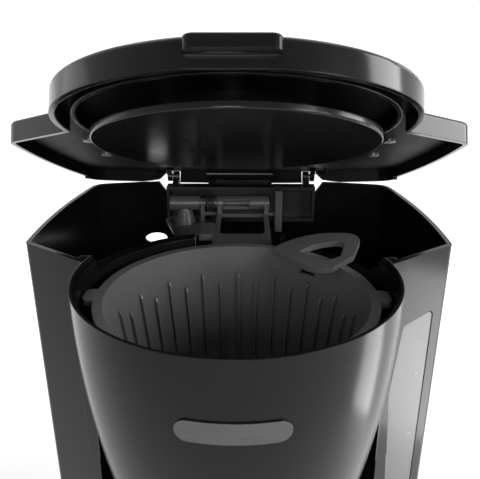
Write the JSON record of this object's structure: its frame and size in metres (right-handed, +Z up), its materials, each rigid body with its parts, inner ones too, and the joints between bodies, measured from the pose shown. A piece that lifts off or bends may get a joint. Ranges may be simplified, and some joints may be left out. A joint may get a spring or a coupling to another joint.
{
  "type": "drip coffee maker",
  "caption": "Charcoal drip coffee maker with its lid ajar, brew basket with a side handle, water window, glass carafe and warming plate.",
  "frame": {"origin": "on the surface it stands on, under the middle of its box with the lid ajar", "axes": "+Z up, +Y to the back, +X to the right-hand side seen from the front"},
  "size_m": [0.2302, 0.2703, 0.4024],
  "materials": {
    "charcoal_housing": "moulded charcoal plastic, satin",
    "black_inner": "black plastic, semi gloss",
    "grey_basket": "grey plastic, smooth satin",
    "satin_badge": "blank satin plate",
    "smoked_window": "smoked translucent plastic",
    "soft_seal": "soft black rubber",
    "silicone_hose": "milky silicone",
    "steel": "plain steel",
    "coated_plate": "black non-stick coating",
    "cast_heater": "as cast",
    "fuse_sleeve": "woven glass sleeve on a thermal fuse",
    "carafe_glass": "clear, polished",
    "red_lens": "red clear lens"
  },
  "bodies": {
    "housing": {"main_housing": "charcoal_housing", "bay_wall": "charcoal_housing", "tank_floor": "charcoal_housing", "holder_ring": "charcoal_housing", "brew_bowl": "charcoal_housing", "bowl_floor": "charcoal_housing", "badge_plate": "satin_badge", "water_window": "smoked_window", "window_seal": "soft_seal", "hinge_block": "black_inner", "hinge_pins": "steel", "water_tube": "black_inner", "spout_tube": "black_inner", "tube_seals": "soft_seal", "riser_socket": "black_inner", "tube_bracket": "black_inner", "base_shell": "charcoal_housing", "bottom_cover": "black_inner", "feet": "soft_seal", "cover_screws": "steel", "warming_plate": "coated_plate", "plate_ring": "soft_seal", "heater_casting": "cast_heater", "heater_pipe": "cast_heater", "heating_element": "steel", "inlet_hose": "silicone_hose", "riser_hose": "silicone_hose", "hose_clamps": "steel", "tank_outlet": "black_inner", "check_ball": "steel", "riser_grommet": "soft_seal", "thermostat": "steel", "thermal_fuse": "fuse_sleeve", "switch_bezel": "black_inner", "cord_inlet": "black_inner"},
    "lid": {"lid_shell": "charcoal_housing", "lid_liner": "black_inner", "liner_skirt": "black_inner", "disc_cup": "black_inner", "thumb_tab": "charcoal_housing", "spray_disc": "black_inner", "spray_neck": "black_inner", "lid_screws": "steel"},
    "basket": {"basket": "grey_basket", "basket_floor": "grey_basket", "basket_ribs": "grey_basket", "basket_handle": "grey_basket", "valve_seat": "soft_seal"},
    "valve": {"valve_plunger": "grey_basket", "valve_spring": "steel"},
    "carafe": {"carafe_glass": "carafe_glass", "carafe_band": "charcoal_housing", "carafe_handle": "charcoal_housing", "handle_screw": "steel"},
    "carafe_lid": {"carafe_lid": "charcoal_housing"},
    "switch": {"rocker_switch": "black_inner", "switch_lens": "red_lens"}
  },
  "joints": [
    {"name": "lid_hinge", "type": "hinge", "parent": "housing", "child": "lid", "pos_m": [0, 0.127, 0.3012], "axis": [-1, 0, 0], "range_deg": [-22.8, 67.2]},
    {"name": "basket_lift", "type": "slide", "parent": "housing", "child": "basket", "axis": [0, 0, 1], "range_m": [0, 0.02]},
    {"name": "valve_lift", "type": "slide", "parent": "basket", "child": "valve", "axis": [0, 0, 1], "range_m": [0, 0.004], "stiffness_N_per_m": 350, "springref_m": -0.003, "deforming": ["valve_spring"]},
    {"name": "carafe_slide", "type": "slide", "parent": "housing", "child": "carafe", "axis": [0, -1, 0], "range_m": [0, 0.16]},
    {"name": "carafe_lid_twist", "type": "hinge", "parent": "carafe", "child": "carafe_lid", "pos_m": [0, -0.036, 0.152], "axis": [0, 0, 1], "range_deg": [0, 40]},
    {"name": "switch_rock", "type": "hinge", "parent": "housing", "child": "switch", "pos_m": [0, -0.12654, 0.0215], "axis": [-1, 0, 0], "range_deg": [0, 14]}
  ]
}
